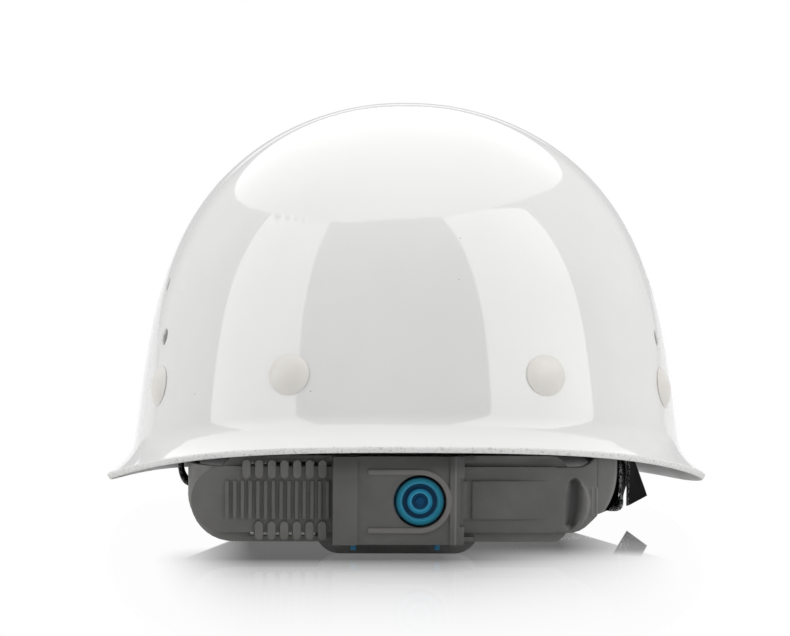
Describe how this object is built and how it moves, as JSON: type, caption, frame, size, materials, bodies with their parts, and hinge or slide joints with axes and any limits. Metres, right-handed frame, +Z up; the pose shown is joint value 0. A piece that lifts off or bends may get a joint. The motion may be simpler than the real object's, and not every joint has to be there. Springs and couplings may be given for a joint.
{
  "type": "safety helmet",
  "caption": "Glossy white safety helmet lying on its peak, with flared brim, riveted webbing cradle, push-button nape adjuster and buckled chin strap.",
  "frame": {"origin": "bottom centre of the bounding box, on the surface that the helmet lies on", "axes": "+Y towards the peak, +X towards the wearer's right side, +Z up; the rear with the adjuster faces -Y"},
  "size_m": [0.22, 0.2724, 0.1525],
  "materials": {
    "shell_white": "smooth glossy moulded",
    "cap_white": "satin moulded",
    "band_grey": "fine satin moulded",
    "latch_blue": "satin moulded",
    "spring_steel": "drawn wire",
    "crown_webbing": "woven",
    "pad_fabric": "brushed foam-backed cloth",
    "chin_webbing": "woven",
    "chin_plastic": "satin moulded"
  },
  "bodies": {
    "helmet": {"shell": "shell_white", "rivet_caps": "cap_white", "strap_anchors": "band_grey", "crown_strap_left_front": "crown_webbing", "crown_strap_right_front": "crown_webbing", "crown_strap_side": "crown_webbing", "front_hoop": "band_grey", "hoop_hangers": "band_grey", "brow_pad": "pad_fabric", "left_nape_band": "band_grey", "right_side_arm": "band_grey", "band_studs": "band_grey", "adjuster_housing": "band_grey", "nape_plate": "band_grey", "latch_carrier": "latch_blue", "pawl_pin": "spring_steel", "return_spring": "spring_steel", "chin_studs": "band_grey"},
    "size_strap": {"size_strap": "band_grey"},
    "button": {"release_button": "latch_blue"},
    "pawl": {"pawl_lever": "latch_blue"},
    "chin_strap": {"chin_tabs": "chin_plastic", "chin_strap_right": "chin_webbing", "chin_strap_left": "chin_webbing", "chin_strap_tail": "chin_webbing", "strap_slider": "chin_plastic", "buckle_body": "chin_plastic", "buckle_insert": "chin_plastic"}
  },
  "joints": [
    {"name": "size_slide", "type": "slide", "parent": "helmet", "child": "size_strap", "axis": [1, 0, 0], "range_m": [-0.0027, 0.0135], "deforming": ["right_side_arm"]},
    {"name": "button_press", "type": "slide", "parent": "helmet", "child": "button", "axis": [0, 1, 0], "range_m": [0, 0.0021], "stiffness_N_per_m": 800, "springref_m": -0.001},
    {"name": "pawl_rock", "type": "hinge", "parent": "helmet", "child": "pawl", "pos_m": [-0.0155, -0.1214, 0.0196], "axis": [0, 0, 1], "range_deg": [0, 7.5], "deforming": ["return_spring"]},
    {"name": "chin_swing", "type": "hinge", "parent": "helmet", "child": "chin_strap", "pos_m": [0, -0.02, 0.036], "axis": [1, 0, 0], "range_deg": [-30, 30]}
  ],
  "couplings": [
    {"joint": "pawl_rock", "follows": "button_press", "rad_per_m": 61.5}
  ]
}
